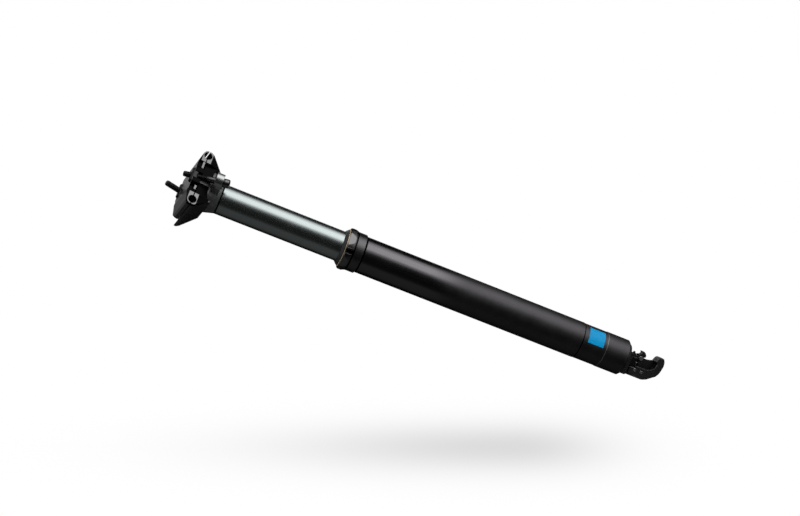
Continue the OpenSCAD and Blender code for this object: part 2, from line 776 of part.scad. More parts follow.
// Cast bracket: round flange, far cheek, closed side, foot and horn
module actuator_bracket() {
    flange_h = 1.9;
    flange_top_r = tube_r - tube_bevel - 0.2;
    seat_x = 6.4;
    color([0.1, 0.1, 0.1]) in_mech() difference() {
        union() {
            translate([0, 0, -flange_h])
                cylinder(r1 = bracket_r - 0.3, r2 = flange_top_r, h = flange_h);
            intersection() {
                union() {
                    translate([-bracket_r, -mech_out, -bracket_plate_t])
                        cube([bracket_r + seat_x, 2 * mech_out, bracket_plate_t - flange_h / 2]);
                    side_extrude(mech_half, mech_out) cheek_outline();
                    side_extrude(-mech_half, mech_half + 0.1) web_outline();
                }
                translate([0, 0, -3 * bracket_r]) cylinder(r = bracket_r, h = 3 * bracket_r);
            }
        }
        translate([0, 0, -bracket_plate_t - past])
            cylinder(r = stud_r + bond, h = bracket_plate_t + 2 * past);
        rod_nut_room();
        for (z = rivet_heights) translate([rivet_x, 0, z])
            cross_rod(rivet_d / 2 + bond, 4 * mech_out);
        translate([pivot_at[0], 0, pivot_at[1]]) cross_rod(pivot_r + bond, 4 * mech_out);
        // socket for the cable housing and the hole for the cable
        translate([cable_x, 0, socket_top - 2 * housing_socket])
            cylinder(r = housing_d / 2 + running_fit, h = 2 * housing_socket);
        translate([cable_x, 0, socket_top - past]) cylinder(d = cable_hole_d, h = 2 * housing_socket);
    }
}

// Space that both cheeks leave for the rod nut
module rod_nut_room() {
    nut_air = 0.6;
    translate([0, 0, -bracket_plate_t - rod_nut_h - nut_air])
        cylinder(r = rod_nut_af / 2 / cos(30) + nut_air / 2, h = rod_nut_h + nut_air);
}

// Riveted plate on the open side
module side_plate() {
    color([0.14, 0.14, 0.14]) in_mech() difference() {
        intersection() {
            side_extrude(-mech_out, -mech_half) hook_outline();
            translate([0, 0, -3 * bracket_r]) cylinder(r = bracket_r, h = 3 * bracket_r);
        }
        translate([0, 0, -bracket_plate_t - past])
            cylinder(r = bracket_r + 2, h = 2 * bracket_plate_t);
        rod_nut_room();
        for (z = rivet_heights) translate([rivet_x, 0, z])
            cross_rod(rivet_d / 2 + bond, 4 * mech_out);
    }
}

module side_plate_rivets() {
    cap = 0.5;
    color("silver") in_mech() for (z = rivet_heights) translate([rivet_x, 0, z]) {
        cross_rod(rivet_d / 2, 2 * mech_out);
        for (s = [-1, 1]) translate([0, s * (mech_out + cap / 2), 0])
            cross_rod(rivet_d / 2 + 0.4, cap);
    }
}

// Pin riveted in the far cheek, with its bright head on the open side
module lever_pivot_pin() {
    head_t = 0.9;
    head_y = lever_t / 2 + 0.15;
    color("silver") in_mech() translate([pivot_at[0], 0, pivot_at[1]]) {
        translate([0, (mech_out - head_y) / 2, 0]) cross_rod(pivot_r, mech_out + head_y);
        translate([0, -head_y - head_t / 2, 0]) cross_rod(pivot_r + 0.3, head_t);
    }
}

// Release lever: hub, nose under the release pin and hook for the cable end
module actuator_lever() {
    hook = [[6, -12.4], [6.8, -11.7], [7.7, -10.9], [8.5, -12.9], [9.9, -13.9], [11.5, -13.2],
        [11.3, -15.3], [10.2, -16.9], [8.6, -18], [7.2, -18], [6, -16.2]];
    arm = [[nose_at[0], nose_at[1] + nose_r], [nose_at[0], nose_at[1] - nose_r],
        [3.9, -16.6], [2.6, -14.1], [2.6, -12.6], [1.7, nose_at[1] + nose_r]];
    slot_start = cable_x - 0.8;
    color([0.16, 0.16, 0.17]) in_mech() difference() {
        union() {
            translate([pivot_at[0], 0, pivot_at[1]]) cross_rod(hub_r, lever_t);
            translate([nose_at[0], 0, nose_at[1]]) cross_rod(nose_r, lever_t);
            side_extrude(-lever_t / 2, lever_t / 2) polygon(arm);
            side_extrude(-lever_t / 2, lever_t / 2) polygon(hook);
        }
        translate([pivot_at[0], 0, pivot_at[1]]) cross_rod(pivot_r + running_fit, 4 * mech_out);
        // slot for the cable below the barrel's seat
        translate([slot_start, -cable_hole_d / 2, pivot_at[1] - 3 * hub_r])
            cube([4 * hub_r, cable_hole_d, 6 * hub_r]);
    }
}

// Push rod inside the piston rod that opens the valve
module release_pin() {
    pin_top = piston_foot - 2 - pin_stroke - 1.4;
    color("silver") translate([0, 0, pin_foot]) cylinder(r = pin_r, h = pin_top - pin_foot);
}

lower_tube();
label_patch();
collar();
collar_oring();
accent_ring();
wiper_seal();
foam_ring();
upper_bushing();
base_plug();
piston_rod();
main_piston();
rod_nut();
actuator_bracket();
side_plate();
side_plate_rivets();
lever_pivot_pin();
stanchion();
seatpost_head();
anti_rotation_keys();
lower_bushing();
gas_cylinder();
rod_gland();
cylinder_retainer();
centring_ring();
floating_piston();
lower_clamp();
upper_clamp();
front_bolt();
front_washer();
rear_bolt();
rear_washer();
front_cross_nut();
rear_cross_nut();
actuator_lever();
release_pin();
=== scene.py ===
"""Looks, camera and studio for a telescopic bicycle seatpost, laid out as an add-on."""

import json
import math

import bmesh
import bpy
from bpy.props import FloatProperty, FloatVectorProperty, IntProperty, PointerProperty
from mathutils import Matrix, Vector


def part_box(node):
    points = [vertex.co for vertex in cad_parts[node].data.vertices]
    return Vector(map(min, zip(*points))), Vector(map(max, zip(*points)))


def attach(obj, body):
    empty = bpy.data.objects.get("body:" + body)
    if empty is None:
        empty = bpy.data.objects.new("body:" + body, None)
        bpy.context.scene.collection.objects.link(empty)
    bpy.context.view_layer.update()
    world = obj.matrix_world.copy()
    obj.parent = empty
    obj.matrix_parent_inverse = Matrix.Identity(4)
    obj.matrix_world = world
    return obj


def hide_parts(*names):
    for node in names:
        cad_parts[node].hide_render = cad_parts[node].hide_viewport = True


bl_info = {
    "name": "Telescopic Seatpost Looks",
    "version": (1, 0, 0),
    "blender": (4, 5, 0),
    "location": "3D View > Sidebar > Seatpost",
    "description": "Finishes, threaded clamp bolts, camera and studio for the packed seatpost",
    "category": "Object",
}

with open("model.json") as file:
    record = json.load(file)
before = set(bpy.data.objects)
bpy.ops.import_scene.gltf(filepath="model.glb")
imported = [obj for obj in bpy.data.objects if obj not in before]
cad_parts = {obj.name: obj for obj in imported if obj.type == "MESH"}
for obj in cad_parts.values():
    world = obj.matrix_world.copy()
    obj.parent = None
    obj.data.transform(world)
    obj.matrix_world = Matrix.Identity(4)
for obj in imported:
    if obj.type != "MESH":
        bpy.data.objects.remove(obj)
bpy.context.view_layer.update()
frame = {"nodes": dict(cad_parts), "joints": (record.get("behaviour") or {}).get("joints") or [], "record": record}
cad_nodes = frame["nodes"]
joint_places = {j["name"]: Vector(j.get("pos_m", (0, 0, 0))) for j in frame["joints"]}

MM = 0.001
BAND_HEIGHT = 22 * MM
PATCH_RISE = 3.15 * MM
BAND_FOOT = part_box("label_patch")[0][2] - PATCH_RISE
BAND_TOP = BAND_FOOT + BAND_HEIGHT
IMAGE_WIDTH = 800
IMAGE_HEIGHT = 516


def colour_property(name, description, default):
    return FloatVectorProperty(
        name=name, description=description, subtype="COLOR", size=3, min=0, max=1,
        default=default)


def length_property(name, description, default):
    return FloatProperty(
        name=name, description=description, default=default, unit="LENGTH", precision=4)


class SeatpostCamera(bpy.types.PropertyGroup):
    aim: FloatVectorProperty(
        name="Aim", description="Point in the middle of the picture", subtype="XYZ",
        unit="LENGTH", default=(0.0, 0.0109, -0.03342))
    distance: length_property("Distance", "From the aim to the camera", 1.26302)
    azimuth: FloatProperty(
        name="Azimuth", description="Turn round the post, from its -Y side", unit="ROTATION",
        default=math.radians(57.3))
    elevation: FloatProperty(
        name="Elevation", description="Height above the post's level", unit="ROTATION",
        default=math.radians(9.485))
    roll: FloatProperty(
        name="Roll", description="Turn of the picture, which lays the post on its side",
        unit="ROTATION", default=math.radians(68.45))
    lens: FloatProperty(
        name="Lens", description="Focal length", unit="CAMERA", default=67.5)


class SeatpostStudio(bpy.types.PropertyGroup):
    softbox_level: FloatProperty(
        name="Softbox", description="Brightness of the large softbox's face", default=1.2)
    strip_level: FloatProperty(
        name="Strip", description="Brightness of the strip light's face", default=1.1)
    back_level: FloatProperty(
        name="Back Strip", description="Brightness of the strip light behind the post",
        default=1.6)
    ambient: FloatProperty(
        name="Ambient", description="Brightness of the room for matt surfaces", default=0.4)
    cloth_level: FloatProperty(
        name="Cloths", description="Brightness of the dark cloths and the floor card",
        default=0.6)
    card_level: FloatProperty(
        name="Top Card", description="Brightness of the pale card behind the inner post",
        default=1.4)
    floor_slope: FloatProperty(
        name="Floor Slope", description="Angle between the floor and the line of sight",
        unit="ROTATION", default=math.radians(20))
    shadow: FloatProperty(
        name="Shadow", description="Darkness of the soft shadow's middle", default=0.285,
        min=0, max=1)


class SeatpostColours(bpy.types.PropertyGroup):
    outer_tube: colour_property("Outer Tube", "Black of the outer tube", (0.0455, 0.0435, 0.0458))
    inner_post: colour_property(
        "Inner Post", "Green grey of the hard anodised inner post", (0.226, 0.250, 0.248))
    collar: colour_property("Collar", "Black of the collar", (0.060, 0.059, 0.061))
    accent: colour_property("Accent Ring", "Pale gold of the thin ring", (0.46, 0.37, 0.25))
    patch: colour_property("Patch", "Blue of the plain patch", (0.001, 0.27, 0.56))
    head: colour_property("Head", "Black of the head", (0.070, 0.072, 0.072))
    clamp: colour_property("Saddle Clamp", "Black of both clamp halves", (0.070, 0.069, 0.070))
    bolt: colour_property("Bolts", "Black oxide of bolts and nuts", (0.025, 0.025, 0.026))
    bracket: colour_property(
        "Release Bracket", "Black of the release bracket", (0.046, 0.046, 0.047))
    rubber: colour_property("Rubber", "Black of the wiper seal", (0.007, 0.007, 0.0075))
    cut_face: colour_property(
        "Cut Faces", "Smooth faces that are cut after blasting", (0.11, 0.11, 0.112))
    bare_metal: colour_property(
        "Bare Metal", "Machined faces, rivets and pins", (0.62, 0.62, 0.61))


class SeatpostBolts(bpy.types.PropertyGroup):
    diameter: length_property("Diameter", "Thread diameter", 5.0 * MM)
    length: length_property("Length", "From the seat to the tip", 33.5 * MM)
    thread: length_property("Thread Length", "Length of the thread from the tip", 20.5 * MM)
    pitch: length_property("Pitch", "Thread pitch", 0.8 * MM)
    head_diameter: length_property("Head Diameter", "Across the bolt's head", 7.4 * MM)
    head_height: length_property("Head Height", "Height of the bolt's head", 5.0 * MM)
    socket: length_property("Socket", "Across the flats of the hexagon socket", 4.0 * MM)
    ridges: IntProperty(
        name="Ridges", description="Ridges round the bolt's head", default=32, min=12, max=64)


# Small builders for objects and node trees


def link_object(name, data):
    made = bpy.data.objects.new(name, data)
    bpy.context.scene.collection.objects.link(made)
    return made


def add_node(tree, kind, **values):
    made = tree.nodes.new(kind)
    for key, value in values.items():
        if key in made.inputs:
            made.inputs[key].default_value = value
        else:
            setattr(made, key, value)
    return made


def join(tree, source, target):
    tree.links.new(source, target)


def math_node(tree, operation, first, second=None, clamp=False):
    made = add_node(tree, "ShaderNodeMath", operation=operation, use_clamp=clamp)
    for socket, value in zip(made.inputs, (first, second)):
        if value is None:
            continue
        if isinstance(value, bpy.types.NodeSocket):
            join(tree, value, socket)
        else:
            socket.default_value = value
    return made.outputs[0]


def above(tree, value, limit):
    return math_node(tree, "GREATER_THAN", value, limit)


def below(tree, value, limit):
    return math_node(tree, "LESS_THAN", value, limit)


def both(tree, first, second):
    return math_node(tree, "MULTIPLY", first, second)


def either(tree, first, second):
    return math_node(tree, "MAXIMUM", first, second)


def between(tree, value, low, high):
    return both(tree, above(tree, value, low), below(tree, value, high))


def sum_of_squares(tree, first, second):
    squares = [math_node(tree, "POWER", value, 2.0) for value in (first, second)]
    return math_node(tree, "ADD", *squares)


def split_place(tree, place):
    """The X, Y and Z of a place."""
    parts = add_node(tree, "ShaderNodeSeparateXYZ")
    join(tree, place, parts.inputs[0])
    return parts.outputs["X"], parts.outputs["Y"], parts.outputs["Z"]


def from_axis(tree, forward, side):
    """Distance from the post's axis."""
    return math_node(tree, "SQRT", sum_of_squares(tree, forward, side))


def map_range(tree, value, low, high, to_low, to_high, smooth=False):
    made = tree.nodes.new("ShaderNodeMapRange")
    made.interpolation_type = "SMOOTHSTEP" if smooth else "LINEAR"
    for key, setting in (
            ("From Min", low), ("From Max", high), ("To Min", to_low), ("To Max", to_high)):
        made.inputs[key].default_value = setting
    join(tree, value, made.inputs["Value"])
    return made.outputs["Result"]


def pick_colour_sockets(made):
    """The colour sockets of a Mix node, which share their names with its other sockets."""
    colours = [s for s in made.inputs if s.type == "RGBA"]
    return colours[0], colours[1], [s for s in made.outputs if s.type == "RGBA"][0]


def blend_colours(tree, factor, first, second):
    made = tree.nodes.new("ShaderNodeMix")
    made.data_type = "RGBA"
    join(tree, factor, made.inputs[0])
    low, high, result = pick_colour_sockets(made)
    for socket, value in ((low, first), (high, second)):
        if isinstance(value, bpy.types.NodeSocket):
            join(tree, value, socket)
        else:
            socket.default_value = (*value, 1)
    return result


def blend_values(tree, factor, first, second):
    difference = math_node(tree, "SUBTRACT", second, first)
    return math_node(tree, "ADD", math_node(tree, "MULTIPLY", difference, factor), first)


def mix_shaders(tree, factor, first, second):
    made = add_node(tree, "ShaderNodeMixShader")
    for socket, source in zip(made.inputs, (factor, first, second)):
        join(tree, source, socket)
    return made.outputs[0]


def empty_tree(owner):
    """Node tree of a new material or world, cleared of what it starts with."""
    owner.use_nodes = True
    owner.node_tree.nodes.clear()
    return owner.node_tree


def set_surface(tree, source, kind="ShaderNodeOutputMaterial"):
    join(tree, source, add_node(tree, kind).inputs["Surface"])


# Effects that several finishes share


def new_group(name, inputs, outputs):
    """An empty node group, with what is given to it and what it results in."""
    tree = bpy.data.node_groups.new(name, "ShaderNodeTree")
    for socket_name, kind, default in inputs:
        socket = tree.interface.new_socket(
            name=socket_name, in_out="INPUT", socket_type=kind)
        if default is not None:
            socket.default_value = default
    for socket_name, kind in outputs:
        tree.interface.new_socket(name=socket_name, in_out="OUTPUT", socket_type=kind)
    given = tree.nodes.new("NodeGroupInput").outputs
    return tree, given, tree.nodes.new("NodeGroupOutput").inputs


def grain_group():
    """Fine blasted or anodised grain, with slow changes of gloss such as handling leaves."""
    name = "Surface Grain"
    if name in bpy.data.node_groups:
        return bpy.data.node_groups[name]
    tree, given, result = new_group(name, [
        ("Position", "NodeSocketVector", None),
        ("Grain Size", "NodeSocketFloat", 0.0003),
        ("Stretch", "NodeSocketFloat", 1.0),
        ("Roughness", "NodeSocketFloat", 0.4),
        ("Gloss Change", "NodeSocketFloat", 0.05),
    ], [("Height", "NodeSocketFloat"), ("Roughness", "NodeSocketFloat"),
        ("Shade", "NodeSocketFloat")])
    across = math_node(tree, "DIVIDE", 1.0, given["Grain Size"])
    along = math_node(tree, "DIVIDE", across, given["Stretch"])
    scale = add_node(tree, "ShaderNodeCombineXYZ")
    for axis, value in (("X", across), ("Y", across), ("Z", along)):
        join(tree, value, scale.inputs[axis])
    scaled = add_node(tree, "ShaderNodeVectorMath", operation="MULTIPLY")
    join(tree, given["Position"], scaled.inputs[0])
    join(tree, scale.outputs[0], scaled.inputs[1])
    fine = add_node(tree, "ShaderNodeTexNoise", Scale=1.0, Detail=2.0, Roughness=0.6)
    join(tree, scaled.outputs[0], fine.inputs["Vector"])
    slow = add_node(tree, "ShaderNodeTexNoise", Scale=90.0, Detail=3.0, Roughness=0.55)
    join(tree, given["Position"], slow.inputs["Vector"])
    fine_part = math_node(tree, "SUBTRACT", fine.outputs[0], 0.5)
    slow_part = math_node(tree, "SUBTRACT", slow.outputs[0], 0.5)
    both = math_node(tree, "ADD", fine_part, math_node(tree, "MULTIPLY", slow_part, 2.0))
    change = math_node(tree, "MULTIPLY", both, given["Gloss Change"])
    join(tree, fine.outputs[0], result["Height"])
    join(tree, math_node(tree, "ADD", given["Roughness"], change, clamp=True),
         result["Roughness"])
    join(tree, slow.outputs[0], result["Shade"])
    return tree


def turned_group():
    """Fine rings that a lathe leaves round the post's axis, on sides and on end faces."""
    name = "Turned Marks"
    if name in bpy.data.node_groups:
        return bpy.data.node_groups[name]
    tree, given, result = new_group(name, [
        ("Position", "NodeSocketVector", None),
        ("Pitch", "NodeSocketFloat", 0.0002),
    ], [("Height", "NodeSocketFloat")])
    forward, side, up = split_place(tree, given["Position"])
    reach = math_node(tree, "ADD", from_axis(tree, forward, side), up)
    marks = add_node(
        tree, "ShaderNodeTexNoise", noise_dimensions="1D", Scale=1.0, Detail=3.0, Roughness=0.7)
    join(tree, math_node(tree, "DIVIDE", reach, given["Pitch"]), marks.inputs["W"])
    join(tree, marks.outputs[0], result["Height"])
    return tree


# Cosines of the turn of an eased edge, where its bare metal and painted highlight start and where they are full
EDGE_TURN = (0.99, 0.86)
# Values of the noise where the bare metal and painted highlight break off and where they are full
WEAR_AND_HIGHLIGHT_BREAK = (0.35, 0.75)


def edge_wear_and_highlight_group():
    """Mask of the outer edges, broken up as where a coating has thinned away. The bare metal laid there is also a
    painted highlight along the edges.
    """
    name = "Edge Wear"
    if name in bpy.data.node_groups:
        return bpy.data.node_groups[name]
    tree, given, result = new_group(name, [
        ("Position", "NodeSocketVector", None),
        ("Width", "NodeSocketFloat", 0.0003),
        ("Amount", "NodeSocketFloat", 0.5),
    ], [("Mask", "NodeSocketFloat")])
    rounded = add_node(tree, "ShaderNodeBevel", samples=4)
    join(tree, given["Width"], rounded.inputs["Radius"])
    surface = add_node(tree, "ShaderNodeNewGeometry")
    turn = add_node(tree, "ShaderNodeVectorMath", operation="DOT_PRODUCT")
    join(tree, rounded.outputs[0], turn.inputs[0])
    join(tree, surface.outputs["Normal"], turn.inputs[1])
    edge = map_range(tree, turn.outputs["Value"], *EDGE_TURN, 0.0, 1.0)
    patches = add_node(tree, "ShaderNodeTexNoise", Scale=420.0, Detail=3.0, Roughness=0.6)
    join(tree, given["Position"], patches.inputs["Vector"])
    broken = map_range(tree, patches.outputs[0], *WEAR_AND_HIGHLIGHT_BREAK, 0.0, 1.0)
    mask = math_node(
        tree, "MULTIPLY", both(tree, edge, broken), given["Amount"], clamp=True)
    join(tree, mask, result["Mask"])
    return tree


def eased_group():
    """Normal of a surface with eased edges and a raised grain."""
    name = "Eased Edges"
    if name in bpy.data.node_groups:
        return bpy.data.node_groups[name]
    tree, given, result = new_group(name, [
        ("Edge Radius", "NodeSocketFloat", 0.0003),
        ("Height", "NodeSocketFloat", 0.5),
        ("Depth", "NodeSocketFloat", 0.00001),
    ], [("Normal", "NodeSocketVector")])
    rounded = add_node(tree, "ShaderNodeBevel", samples=4)
    join(tree, given["Edge Radius"], rounded.inputs["Radius"])
    bump = add_node(tree, "ShaderNodeBump", Strength=1.0)
    join(tree, given["Height"], bump.inputs["Height"])
    join(tree, given["Depth"], bump.inputs["Distance"])
    join(tree, rounded.outputs[0], bump.inputs["Normal"])
    join(tree, bump.outputs[0], result["Normal"])
    return tree


def use_group(tree, group, **values):
    made = tree.nodes.new("ShaderNodeGroup")
    made.node_tree = group
    for key, value in values.items():
        socket = made.inputs[key.replace("_", " ")]
        if isinstance(value, bpy.types.NodeSocket):
            join(tree, value, socket)
        else:
            socket.default_value = value
    return made


# Finishes


def start_finish(name, **sockets):
    material = bpy.data.materials.new(name)
    tree = empty_tree(material)
    shader = add_node(tree, "ShaderNodeBsdfPrincipled")
    for key, value in sockets.items():
        shader.inputs[key.replace("_", " ")].default_value = value
    set_surface(tree, shader.outputs[0])
    place = add_node(tree, "ShaderNodeTexCoord")
    return material, tree, shader.inputs, place.outputs["Object"]


def tint(colour, share):
    return tuple(min(1, channel * share) for channel in colour)


# Colour of the painted shade in recesses, grooves and joint lines that a mask picks
PAINTED_SHADE = (0.0025, 0.0025, 0.0026)
# How far the bare edges and their painted highlight reach, as a share of the eased edge
WEAR_AND_HIGHLIGHT_REACH = 1.4


def metal_finish(name, colour, metallic, roughness, change=0.05, grain=0.00025, stretch=1.0,
                 depth=0.000004, edge=0.0003, pitch=None, wear_and_highlight=0.0, worn_and_highlight=None, shade=0.2,
                 specular=0.5, rim=1.0, face_and_shade_masks=None, cut_colour=None, cut_roughness=0.34):
    """A coated or bare metal. The masks that are given pick bright cut faces, and places of painted shade that
    turn near black.

    Black anodising is a dark metal that reflects little at a glancing angle, set by rim.
    """
    material, tree, shader, place = start_finish(
        name, Specular_IOR_Level=specular, Specular_Tint=(rim, rim, rim, 1))
    skin = use_group(
        tree, grain_group(), Position=place, Grain_Size=grain, Stretch=stretch,
        Roughness=roughness, Gloss_Change=change)
    height = skin.outputs["Height"]
    if pitch:
        marks = use_group(tree, turned_group(), Position=place, Pitch=pitch)
        height = math_node(tree, "ADD", height, marks.outputs["Height"])
    normal = use_group(tree, eased_group(), Edge_Radius=edge, Height=height, Depth=depth)
    base = blend_colours(
        tree, skin.outputs["Shade"], tint(colour, 1 - shade), tint(colour, 1 + shade))
    rough = skin.outputs["Roughness"]
    metal = None
    # Bare metal on the outer edges, from a thinned coating, which is also a painted highlight along them.
    if wear_and_highlight:
        rubbed_and_highlit = use_group(
            tree, edge_wear_and_highlight_group(), Position=place, Width=edge * WEAR_AND_HIGHLIGHT_REACH,
            Amount=wear_and_highlight).outputs["Mask"]
        base = blend_colours(tree, rubbed_and_highlit, base, worn_and_highlight)
        metal = map_range(tree, rubbed_and_highlit, 0.0, 1.0, metallic, 1.0)
    if face_and_shade_masks:
        bright, shaded = face_and_shade_masks(tree, place)
        # Painted shade: the places that the shade mask picks turn near black.
        if shaded:
            base = blend_colours(tree, shaded, base, PAINTED_SHADE)
        if bright:
            cut = use_group(
                tree, grain_group(), Position=place, Grain_Size=0.0002, Stretch=0.15,
                Roughness=cut_roughness, Gloss_Change=0.2)
            base = blend_colours(tree, bright, base, cut_colour)
            rough = blend_values(tree, bright, rough, cut.outputs["Roughness"])
        if bright and shaded:
            masked = either(tree, bright, shaded)
        else:
            masked = bright or shaded
        metal = either(tree, masked, metal or metallic)
    join(tree, base, shader["Base Color"])
    join(tree, rough, shader["Roughness"])
    if metal:
        join(tree, metal, shader["Metallic"])
    else:
        shader["Metallic"].default_value = metallic
    join(tree, normal.outputs[0], shader["Normal"])
    return material


def dress(material, *names):
    for name in names:
        slots = cad_nodes[name].data.materials
        slots.clear()
        slots.append(material)


# Heights between which the outer tube gets glossier, and what the gloss does there
GLOSS_FROM = -95 * MM
GLOSS_TO = -55 * MM
GLOSS_SMOOTHER = 0.27
GLOSS_LIGHTER = 1.7
# Painted shadow lines on the tube, at the collar's foot and at the band's top, and a painted highlight along the
# band's lower step
TUBE_SHADOW_COLOUR = (0.0015, 0.0015, 0.0015)
COLLAR_SHADOW_LINE = (-1.3 * MM, 0.4 * MM)
BAND_SHADOW_LINE = (BAND_TOP - 0.5 * MM, BAND_TOP + 0.4 * MM)
BAND_STEP = (BAND_FOOT - 0.3 * MM, BAND_FOOT + 0.2 * MM)
# Strength of the painted highlight along the band's lower step
BAND_STEP_HIGHLIGHT = 0.2


def tube_finish(colour, worn_and_highlight):
    """Satin black tube, glossier near the collar, with painted shadow lines at the collar and the band's top, and
    a painted highlight along the band's lower step.
    """
    material, tree, shader, place = start_finish(
        "outer_tube_black", Metallic=1.0, Specular_Tint=(0.4, 0.4, 0.4, 1))
    height_up = split_place(tree, place)[2]
    gloss = map_range(tree, height_up, GLOSS_FROM, GLOSS_TO, 0.0, 1.0, smooth=True)
    shadow_line = either(
        tree, between(tree, height_up, *COLLAR_SHADOW_LINE), between(tree, height_up, *BAND_SHADOW_LINE))
    skin = use_group(
        tree, grain_group(), Position=place, Grain_Size=0.00022, Stretch=2.5,
        Roughness=0.47, Gloss_Change=0.08)
    rough = math_node(
        tree, "SUBTRACT", skin.outputs["Roughness"],
        math_node(tree, "MULTIPLY", gloss, GLOSS_SMOOTHER))
    marks = use_group(tree, turned_group(), Position=place, Pitch=0.0004)
    height = math_node(tree, "ADD", skin.outputs["Height"], marks.outputs["Height"])
    normal = use_group(
        tree, eased_group(), Edge_Radius=0.0003, Height=height, Depth=0.0000015)
    base = blend_colours(tree, skin.outputs["Shade"], tint(colour, 0.8), tint(colour, 1.25))
    base = blend_colours(tree, gloss, base, tint(colour, GLOSS_LIGHTER))
    # Bare metal on the outer edges, from a thinned coating, which is also a painted highlight along them.
    rubbed_and_highlit = use_group(tree, edge_wear_and_highlight_group(), Position=place, Width=0.0003, Amount=0.2)
    base = blend_colours(tree, rubbed_and_highlit.outputs["Mask"], base, worn_and_highlight)
    # Painted highlight: a thin line of bare-metal colour along the band's lower step, where its edge catches the
    # light.
    step = between(tree, height_up, *BAND_STEP)
    step_highlight = math_node(tree, "MULTIPLY", step, BAND_STEP_HIGHLIGHT)
    base = blend_colours(tree, step_highlight, base, worn_and_highlight)
    # Painted shadow: near-black lines under the collar and along the band's top.
    base = blend_colours(tree, shadow_line, base, TUBE_SHADOW_COLOUR)
    join(tree, base, shader["Base Color"])
    join(tree, rough, shader["Roughness"])
    join(tree, normal.outputs[0], shader["Normal"])
    return material


def patch_finish(colour):
    """Plain printed film with a weak gloss and a slow change of shade."""
    material, tree, shader, place = start_finish(
        "patch_blue_film", Specular_IOR_Level=0.1, Coat_Weight=0.03, Coat_Roughness=0.2)
    skin = use_group(
        tree, grain_group(), Position=place, Grain_Size=0.0004, Stretch=1.0,
        Roughness=0.42, Gloss_Change=0.05)
    base = blend_colours(tree, skin.outputs["Shade"], tint(colour, 0.9), tint(colour, 1.08))
    normal = use_group(
        tree, eased_group(), Edge_Radius=0.0001, Height=skin.outputs["Height"],
        Depth=0.000003)
    join(tree, base, shader["Base Color"])
    join(tree, skin.outputs["Roughness"], shader["Roughness"])
    join(tree, normal.outputs[0], shader["Normal"])
    return material


def soft_finish(name, colour, roughness, grain, depth, shade=0.25):
    """Rubber, foam and plastics: matt, with a fine moulded grain."""
    return metal_finish(
        name, colour, 0.0, roughness, change=0.12, grain=grain, depth=depth, shade=shade,
        edge=0.0002, specular=0.4)


# The clamp's masks, forward along the rails, up from their axis and to the left
CLAMP_CUT_FROM = 19.85 * MM
JAW_SIDE = 15.6 * MM
JAW_RISE = (-3.9 * MM, 4.2 * MM)
LIP_RISE = (0.3 * MM, 2.1 * MM)
LEFT_LIP = (8.6 * MM, 14.8 * MM)
RIGHT_LIP = (-12.6 * MM, -8.8 * MM)
RECESS_FROM = 16.5 * MM
RECESS_TOP = 6.2 * MM


def clamp_faces(tree, place):
    """Masks of the clamp's bright cut faces at the front, and of the painted shade in its recesses."""
    mounts = {m["name"]: m for m in frame["record"]["mounts"]}
    rail = Vector(mounts["rail_left"]["pos_m"])
    along = Vector(mounts["rail_left"]["axis"])
    local = add_node(tree, "ShaderNodeMapping", vector_type="TEXTURE")
    local.inputs["Location"].default_value = (0, 0, rail.z - rail.x * along.z / along.x)
    local.inputs["Rotation"].default_value = (0, math.atan2(-along.z, along.x), 0)
    join(tree, place, local.inputs["Vector"])
    forward, left, up = split_place(tree, local.outputs[0])
    side = math_node(tree, "ABSOLUTE", left)
    front = above(tree, forward, CLAMP_CUT_FROM)
    jaw = both(tree, above(tree, side, JAW_SIDE), between(tree, up, *JAW_RISE))
    lip = both(tree, between(tree, up, *LIP_RISE), either(
        tree, between(tree, left, *LEFT_LIP), between(tree, left, *RIGHT_LIP)))
    bright = both(tree, front, either(tree, jaw, lip))
    # Painted shade: the recesses under the clamp's front turn near black.
    recess_shade = both(tree, above(tree, forward, RECESS_FROM), below(tree, up, RECESS_TOP))
    return bright, recess_shade


# How far the turned ear reaches behind the front bolt's seat and above it
EAR_BACK = 2.5 * MM
EAR_RISE = 6.7 * MM


def head_faces(tree, place):
    """Mask of the head's smooth turned ear round the front bolt."""
    forward, _, up = split_place(tree, place)
    seat = joint_places["front_bolt_rock"]
    ear = both(
        tree, above(tree, forward, seat.x - EAR_BACK), below(tree, up, seat.z + EAR_RISE))
    return ear, None


# Height of the painted shadow line under the head
JOINT_SHADOW_LINE = 1.2 * MM


def stanchion_faces(tree, place):
    """Mask of the painted shadow line at the inner post's top, where it meets the head."""
    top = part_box("stanchion")[1][2]
    # Painted shadow: a near-black band on the inner post just under the head.
    return None, above(tree, split_place(tree, place)[2], top - JOINT_SHADOW_LINE)


# The collar's masks, as heights above its foot and distances from the axis
FACET_RISE = (9.6 * MM, 14.6 * MM)
FACET_RADIUS = (16.64 * MM, 17.66 * MM)
RIB_RISE = (9.6 * MM, 14.3 * MM)
RIB_RADIUS = 17.84 * MM
NOTCH_FOOT = 7.9 * MM
NOTCH_RADIUS = 16.63 * MM
GROOVE_RISE = (7.3 * MM, 8.7 * MM)


def collar_faces(tree, place):
    """Masks of the collar's polished facets and ribs, and of the painted shade in its notches and foot groove."""
    forward, side, up = split_place(tree, place)
    radius = from_axis(tree, forward, side)
    facet = both(
        tree, between(tree, up, *FACET_RISE), between(tree, radius, *FACET_RADIUS))
    rib = both(tree, between(tree, up, *RIB_RISE), above(tree, radius, RIB_RADIUS))
    # Painted shade: the notches' floors and the groove below the grip turn near black.
    notch = both(tree, above(tree, up, NOTCH_FOOT), below(tree, radius, NOTCH_RADIUS))
    groove = between(tree, up, *GROOVE_RISE)
    return either(tree, facet, rib), either(tree, notch, groove)


# Heights above the seat between which a bolt's smooth shank ends
SHANK_END = (13.0 * MM, 11.5 * MM)


